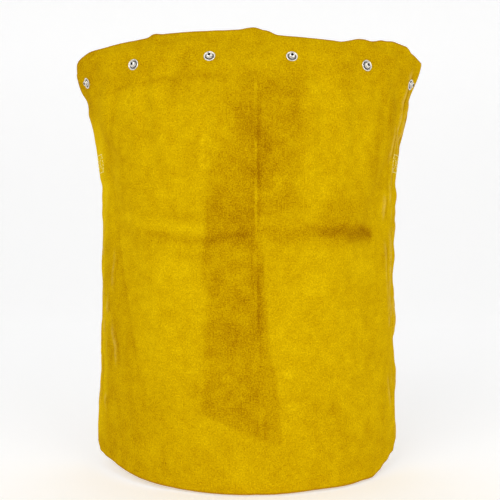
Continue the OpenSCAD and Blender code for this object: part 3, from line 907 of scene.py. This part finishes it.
def rounded_outline(points, radius):
    """The closed outline with each corner replaced by a short arc-like curve."""
    steps = 4
    out = []
    n = len(points)
    for i in range(n):
        p = Vector(points[i])
        before = Vector(points[i - 1]) - p
        after = Vector(points[(i + 1) % n]) - p
        a = p + before.normalized() * min(radius, before.length * 0.45)
        b = p + after.normalized() * min(radius, after.length * 0.45)
        for k in range(steps + 1):
            t = k / steps
            out.append(tuple(a * (1 - t) ** 2 + p * 2 * t * (1 - t) + b * t ** 2))
    return out


SEAT = 0.65                     # height of the leather's face under a stud

STUD_OUTLINE = [(2.15, SEAT), (6.0, SEAT), (6.5, SEAT + 0.25), (6.55, SEAT + 0.75),
                (6.1, SEAT + 1.15), (5.5, SEAT + 1.1), (5.1, SEAT + 0.5), (4.2, SEAT + 0.4),
                (3.4, SEAT + 1.0), (2.85, SEAT + 1.9), (3.2, SEAT + 2.4), (3.22, SEAT + 3.2),
                (2.85, SEAT + 3.65), (2.15, SEAT + 3.8)]
EYELET_OUTLINE = [(1.5, -1.4), (4.6, -1.4), (5.2, -1.1), (5.2, -0.65), (2.1, -0.65), (2.1, 4.5),
                  (2.6, 4.5), (2.62, 4.72), (2.1, 4.95), (1.65, 4.85), (1.5, 4.5)]


def press_studs():
    studs = []
    eyelets = []
    for number, mount in enumerate(STUDS):
        pose = stud_pose(mount)
        studs.append(lathe(f"press_stud_{number + 1}", rounded_outline(STUD_OUTLINE, 0.35), pose))
        eyelets.append(lathe(f"stud_eyelet_{number + 1}", rounded_outline(EYELET_OUTLINE, 0.18), pose))
    for obj in studs + eyelets:
        use_material(obj, NICKEL)
        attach(obj, "bib")
    for obj in studs:
        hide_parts("snap_studs")
    for obj in eyelets:
        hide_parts("snap_eyelets")


press_studs()


# ---- sewing: every stitch is a twisted thread that dives into the cloth at both ends

THREAD_R = 0.42 * MM
STITCH_L = 3.5 * MM
STITCH_PITCH = 4.4 * MM


def stitch_mesh(bm, a, b, up):
    """One stitch from a to b on a surface whose outward direction is up."""
    steps, around = 14, 10
    a, b, up = Vector(a), Vector(b), Vector(up)
    along = (b - a).normalized()
    side = along.cross(up).normalized()
    rings = []
    for k in range(steps + 1):
        t = k / steps
        rise = math.sin(math.pi * t) ** 0.45
        centre = a.lerp(b, t) + up * THREAD_R * (2.1 * rise - 1.55)
        ring = []
        for j in range(around):
            angle = 2 * math.pi * j / around
            ply = 1 + 0.16 * math.cos(2 * angle + 9 * t * math.pi / 2)
            r = THREAD_R * ply * (0.72 + 0.28 * rise)
            ring.append(bm.verts.new(centre + side * r * math.cos(angle) + up * r * math.sin(angle)))
        rings.append(ring)
    bridge(bm, rings)


def finish_bmesh(bm, name, material, body, nodes):
    bmesh.ops.recalc_face_normals(bm, faces=bm.faces)
    mesh = bpy.data.meshes.new(name)
    bm.to_mesh(mesh)
    bm.free()
    mesh.shade_smooth()
    obj = add_object(name, mesh)
    use_material(obj, material)
    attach(obj, body)
    if nodes:
        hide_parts(*nodes)


def box_stitch_lines():
    w, h = BOX_L / 2, (WEB_W - 4 * MM) / 2
    corners = [(-w, -h), (w, -h), (w, h), (-w, h)]
    lines = [(corners[i], corners[(i + 1) % 4]) for i in range(4)]
    return lines + [(corners[0], corners[2]), (corners[1], corners[3])]


def box_stitch(side, name):
    """The rectangle with a cross, on the front of the leather and on the webbing behind."""
    rng = random.Random(7 + side)
    bm = bmesh.new()
    behind = -(LEATHER_T / 2 + 0.3 * MM + WEB_T)
    for (a, b) in box_stitch_lines():
        a, b = Vector(a), Vector(b)
        run = (b - a).length
        direction = (b - a) / run
        count = int((run + STITCH_PITCH - STITCH_L) / STITCH_PITCH)
        first = (run - (count - 1) * STITCH_PITCH - STITCH_L) / 2
        for k in range(count):
            start = a + direction * (first + k * STITCH_PITCH + rng.uniform(-0.2, 0.2) * MM)
            end = start + direction * STITCH_L
            wander = Vector((direction.y, -direction.x)) * rng.uniform(-0.25, 0.25) * MM
            for height, sign in ((LEATHER_T / 2, 1), (behind, -1)):
                ends = []
                for p in (start + wander, end + wander):
                    centre, _, _, normal = leather_frame(side * (BOX_S + p.x), STRAP_Z + p.y)
                    ends.append(centre + normal * height)
                stitch_mesh(bm, ends[0], ends[1], normal * sign)
    node = "box_stitch_left" if side < 0 else "box_stitch_right"
    finish_bmesh(bm, name, PALE_THREAD, "bib", [node])


box_stitch(-1, "box_sewing_left")
box_stitch(1, "box_sewing_right")


# ---- waist strap: webbing swept along its path, from the leather round to the buckle

BEND_R = 100 * MM
HINGE_GAP = 1.1 * MM
HINGE_S = HALF_W + 2 * MM
WEB_INSET = LEATHER_T / 2 + 0.3 * MM + WEB_T / 2
LAYER = WEB_T + 0.12 * MM
SOCKET_LOW, SOCKET_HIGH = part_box("buckle_socket")
PLUG_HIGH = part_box("buckle_plug")[1]
BAR_R = 2 * MM
BAR_X = SOCKET_LOW.x + BAR_R + 1 * MM
BUCKLE_Y = (SOCKET_LOW.y + SOCKET_HIGH.y) / 2
LOOP_R = BAR_R + 0.1 * MM + WEB_T / 2
BACK_Y = BUCKLE_Y - LOOP_R
SLOT_A_X = PLUG_HIGH.x - 13.7 * MM
SLOT_B_X = PLUG_HIGH.x - 6.8 * MM
TAIL_END_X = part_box("tail_hem_stitch")[1].x + 3.6 * MM


def arc_points(centre, radius, start, end, count):
    angles = np.radians(np.linspace(start, end, count))
    return [(centre[0] + radius * math.cos(a), centre[1] + radius * math.sin(a)) for a in angles]


def hinge_place():
    """Where the strap leaves the leather, on the right, and its direction there, in plan."""
    point, across, _, normal = leather_frame(HALF_W, STRAP_Z)
    at = point - normal * WEB_INSET
    along = Vector((across.x, across.y)).normalized()
    return Vector((at.x, at.y)) + along * (HINGE_S - HALF_W), along


def bend_points():
    """The curve from the leather's edge to the straight run across the back, on the right."""
    hinge, along = hinge_place()
    start = hinge + along * HINGE_GAP
    centre = start + Vector((-along.y, along.x)) * BEND_R
    first = math.degrees(math.atan2(along.y, along.x)) - 90
    return arc_points(centre, BEND_R, first, 90, 40)


def resample(points, step):
    pts = np.array(points, float)
    length = run_length(pts)
    count = max(2, int(round(length[-1] / step)) + 1)
    at = np.linspace(0, length[-1], count)
    return np.stack([np.interp(at, length, pts[:, k]) for k in range(pts.shape[1])], 1)


def relax(points, rounds):
    pts = points.copy()
    for _ in range(rounds):
        pts[1:-1] = (pts[:-2] + 2 * pts[1:-1] + pts[2:]) / 4
    return pts


def webbing(name, side, free_path, nodes):
    """A strap half: a stretch sewn to the leather, then the free path, as one woven band.

    free_path is in plan and starts at the leather's edge. Rows run along the band, columns
    across its width.
    """
    columns = 21
    width = np.linspace(-WEB_W / 2, WEB_W / 2, columns)
    sewn_s = np.arange(HALF_W - SEWN_L, HALF_W - 0.2 * MM, 1 * MM)
    sewn = np.zeros((len(sewn_s), columns, 3))
    sewn_n = np.zeros_like(sewn)
    for i, s in enumerate(sewn_s):
        for j in (0, columns // 2, columns - 1):
            point, _, _, normal = leather_frame(side * s, STRAP_Z + width[j])
            sewn[i, j] = point - normal * WEB_INSET
            sewn_n[i, j] = normal
        for half in (0, 1):
            a, b = half * (columns // 2), (half + 1) * (columns // 2)
            for j in range(a + 1, b):
                t = (j - a) / (b - a)
                sewn[i, j] = sewn[i, a] * (1 - t) + sewn[i, b] * t
                sewn_n[i, j] = sewn_n[i, a] * (1 - t) + sewn_n[i, b] * t
    path = relax(resample(free_path, 0.8 * MM), 3)
    tangent = np.gradient(path, axis=0)
    tangent /= np.linalg.norm(tangent, axis=1, keepdims=True)
    outward = np.stack([tangent[:, 1], -tangent[:, 0]], 1) * side
    along = run_length(path)
    flat_edge = sewn[-1, columns // 2, :2]
    twist = sewn[-1, :, :2] - flat_edge
    fade = 1 - smooth(along / (45 * MM))
    free = np.zeros((len(path), columns, 3))
    free[..., 0] = path[:, 0][:, None] + twist[:, 0][None] * fade[:, None]
    free[..., 1] = path[:, 1][:, None] + twist[:, 1][None] * fade[:, None]
    free[..., 2] = STRAP_Z + width[None]
    slack = smooth(along / (60 * MM)) * smooth((along[-1] - along) / (120 * MM))
    wave = 0.9 * MM * value_noise(along / (38 * MM), along * 0 + side + 4, 151) * slack
    free[..., :2] += (outward * wave[:, None])[:, None, :]
    sag = 1.2 * MM * value_noise(along / (70 * MM), along * 0 + side + 7, 152) * slack
    free[..., 2] += sag[:, None]
    free_n = np.zeros_like(free)
    free_n[..., :2] = outward[:, None, :]
    centre = np.concatenate([sewn, free])
    normal = np.concatenate([sewn_n, free_n])
    band_mesh(name, centre, normal, width, nodes)


def band_mesh(name, centre, normal, width, nodes):
    rows, columns = centre.shape[:2]
    edge = np.abs(width) / (WEB_W / 2)
    half_t = WEB_T / 2 * (1 - 0.55 * edge ** 10)
    top = centre + normal * half_t[None, :, None]
    bottom = centre - normal * half_t[None, :, None]
    verts = np.concatenate([top.reshape(-1, 3), bottom.reshape(-1, 3)])
    count = rows * columns
    faces = grid_faces(rows, columns) + grid_faces(rows, columns, count, turned=True)
    for i in range(rows - 1):
        for j in (0, columns - 1):
            a, d = i * columns + j, (i + 1) * columns + j
            faces.append((a, d, count + d, count + a))
    for i in (0, rows - 1):
        for j in range(columns - 1):
            a = i * columns + j
            faces.append((a, a + 1, count + a + 1, count + a))
    obj = new_mesh(name, verts, faces)
    bm = bmesh.new()
    bm.from_mesh(obj.data)
    bmesh.ops.recalc_face_normals(bm, faces=bm.faces)
    bm.to_mesh(obj.data)
    bm.free()
    along = run_length(centre[:, columns // 2])
    set_uv(obj, "weave", np.tile(np.repeat(along, columns), 2), np.tile(width, 2 * rows))
    use_material(obj, WEBBING)
    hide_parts(*nodes)
    hinge, direction = hinge_place()
    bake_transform(obj)


def left_path():
    run = [(-x, y) for x, y in bend_points()]
    outer_y = BACK_Y + LAYER
    loop = arc_points((BAR_X, BUCKLE_Y), LOOP_R, -90, 90, 14)
    back = [(BAR_X - 3 * MM, BUCKLE_Y + LOOP_R), (BAR_X - 7 * MM, outer_y + 1.4 * MM),
            (BAR_X - 11 * MM, outer_y), (BAR_X - 34 * MM, outer_y)]
    return run + [(BAR_X - 8 * MM, BACK_Y)] + loop + back


def right_path():
    over_y = BUCKLE_Y + 1.6 * MM + 0.1 * MM + WEB_T / 2
    outer_y = BACK_Y + LAYER
    turn = 1.3 * MM
    up = arc_points((SLOT_A_X + turn, BACK_Y + turn), turn, -90, -180, 5)
    top = arc_points((SLOT_A_X + turn, over_y - turn), turn, 180, 90, 5)
    down = arc_points((SLOT_B_X - turn, over_y - turn), turn, 90, 0, 5)
    out = arc_points((SLOT_B_X + turn, outer_y + turn), turn, 180, 270, 5)
    return bend_points() + up + top + down + out + [(TAIL_END_X, outer_y)]


webbing("waist_strap_left", -1, left_path(), ["strap_left", "strap_left_sewn_end"])
webbing("waist_strap_right", 1, right_path(), ["strap_right", "strap_right_sewn_end"])


def strap_sewing(name, node, body, rows):
    """Rows of upright stitches on the outer face of a doubled strap."""
    low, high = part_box(node)
    bm = bmesh.new()
    per_row = 5
    pitch = (high.z - low.z - STITCH_L) / (per_row - 1)
    xs = np.linspace(low.x, high.x, rows + 2)[1:-1] if rows == 1 else np.linspace(low.x, high.x, rows)
    for x in xs:
        for k in range(per_row):
            foot = Vector((x, BACK_Y + LAYER + WEB_T / 2, low.z + k * pitch))
            stitch_mesh(bm, foot, foot + Vector((0, 0, STITCH_L)), (0, 1, 0))
    finish_bmesh(bm, name, BLACK_THREAD, body, [node])


strap_sewing("loop_sewing", "strap_loop_stitch", "belt_left", 4)
strap_sewing("tail_sewing", "tail_hem_stitch", "belt_right", 2)


# ---- buckle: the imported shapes, with moulded edges

def moulded(node, name, body, edge):
    """A copy of a buckle part with rounded edges."""
    mesh = frame["nodes"][node].data.copy()
    obj = add_object(name, mesh)
    bm = bmesh.new()
    bm.from_mesh(mesh)
    bmesh.ops.remove_doubles(bm, verts=bm.verts, dist=1e-6)
    bmesh.ops.dissolve_limit(bm, angle_limit=math.radians(3), verts=bm.verts, edges=bm.edges)
    bm.to_mesh(mesh)
    bm.free()
    bevel = obj.modifiers.new("edges", "BEVEL")
    bevel.width = edge
    bevel.segments = 3
    bevel.limit_method = "ANGLE"
    bevel.angle_limit = math.radians(32)
    bevel.use_clamp_overlap = True
    apply_modifiers(obj)
    mesh = obj.data
    mesh.shade_smooth()
    mesh.set_sharp_from_angle(angle=math.radians(38))
    use_material(obj, PLASTIC)
    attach(obj, body)
    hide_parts(node)


def socket_ribs():
    """Three low grip ribs across each broad face of the socket, rounded along their length."""
    bm = bmesh.new()
    length = 0.34 * (SOCKET_HIGH.z - SOCKET_LOW.z)
    middle_z = (SOCKET_LOW.z + SOCKET_HIGH.z) / 2
    radius = 0.9 * MM
    for face_y, out in ((SOCKET_LOW.y, -1), (SOCKET_HIGH.y, 1)):
        for k in range(3):
            x = SOCKET_HIGH.x - 4.2 * MM - 2.6 * MM * k
            rings = []
            for i in range(13):
                t = -1 + 2 * i / 12
                r = radius * math.sqrt(max(0.02, 1 - t ** 6))
                z = middle_z + t * length / 2
                ring = []
                for j in range(17):
                    angle = math.pi * j / 16
                    y = face_y + out * (0.55 * r * math.sin(angle) - 0.06 * MM)
                    ring.append(bm.verts.new((x + r * math.cos(angle), y, z)))
                rings.append(ring)
            bridge(bm, rings)
    finish_bmesh(bm, "buckle_socket_ribs", PLASTIC, "belt_left", [])


moulded("buckle_socket", "buckle_socket_shell", "belt_left", 0.7 * MM)
socket_ribs()
moulded("buckle_plug", "buckle_plug_frame", "belt_right", 0.5 * MM)
moulded("prong_upper", "buckle_prong_upper", "prong_up", 0.4 * MM)
moulded("prong_lower", "buckle_prong_lower", "prong_down", 0.4 * MM)


# ---- studio

CAMERA_DISTANCE = 0.870
CAMERA_Z = 0.2758
FOCAL_SHARE = 801.3 / 500       # focal length over the picture's width


def studio():
    world = bpy.data.worlds.new("studio")
    bpy.context.scene.world = world
    world.use_nodes = True
    sky = Nodes(world.node_tree)
    rays = sky.add("ShaderNodeLightPath")

    def background(strength):
        inputs = {"Color": (1, 1, 1, 1), "Strength": strength}
        return sky.add("ShaderNodeBackground", inputs).outputs[0]

    def choose(ray, plain, special):
        """One shader for a kind of ray and another for all the rest."""
        return sky.add("ShaderNodeMixShader", {0: rays.outputs[ray], 1: plain, 2: special}).outputs[0]

    # polished metal mirrors a studio with dark corners, not an even white
    place = sky.add("ShaderNodeTexCoord").outputs["Generated"]
    waves = {"Vector": place, "Scale": 0.62, "Distortion": 3.0, "Detail": 1.0}
    bands = sky.add("ShaderNodeTexWave", waves, bands_direction="Z").outputs["Fac"]
    spread = {"Value": bands, "To Min": 0.22, "To Max": 1.5}
    room = background(sky.add("ShaderNodeMapRange", spread).outputs[0])
    lit = choose("Is Glossy Ray", background(0.62), room)
    # beyond the floor's edge the camera sees the same pale paper
    seen = choose("Is Camera Ray", lit, background(0.97))
    sky.add("ShaderNodeOutputWorld", {"Surface": seen})

    def area(name, place, target, size, power):
        data = bpy.data.lights.new(name, "AREA")
        data.shape = "RECTANGLE"
        data.size, data.size_y = size
        data.energy = power
        lamp = add_object(name, data)
        lamp.location = place
        lamp.rotation_euler = (Vector(target) - Vector(place)).to_track_quat("-Z", "Y").to_euler()

    area("key", (-1.1, -2.0, 1.5), (0, 0, 0.28), (1.4, 1.4), 15)
    area("fill", (1.4, -1.8, 0.9), (0, 0, 0.28), (1.4, 1.4), 10)

    floor = new_mesh("floor", *cove())
    m = Material("paper_floor")
    m.set("Base Color", (0.93, 0.93, 0.93, 1))
    m.set("Roughness", 0.9)
    m.set("Emission Color", (1, 1, 1, 1))
    m.set("Emission Strength", 0.22)
    use_material(floor, m.material)

    data = bpy.data.cameras.new("camera")
    data.sensor_width = 36
    data.lens = 36 * FOCAL_SHARE
    data.shift_x = 2 / 500
    data.shift_y = -10 / 500
    camera = add_object("camera", data)
    camera.location = (0, FRONT_Y - CAMERA_DISTANCE, CAMERA_Z)
    camera.rotation_euler = (math.radians(90), 0, 0)
    bpy.context.scene.camera = camera
    bpy.context.scene.view_settings.view_transform = "Standard"
    bpy.context.scene.view_settings.look = "None"


def cove():
    """A floor that curves up into a backdrop."""
    floor_z = -4 * MM
    profile = [(-4.0, floor_z), (1.6, floor_z)]
    for k in range(1, 17):
        a = math.pi / 2 * k / 16
        profile.append((1.6 + 1.2 * math.sin(a), floor_z + 1.2 * (1 - math.cos(a))))
    profile.append((2.8, 4.0))
    verts = []
    for y, z in profile:
        verts += [(-5, y, z), (5, y, z)]
    faces = [(2 * k, 2 * k + 1, 2 * k + 3, 2 * k + 2) for k in range(len(profile) - 1)]
    return verts, faces


studio()
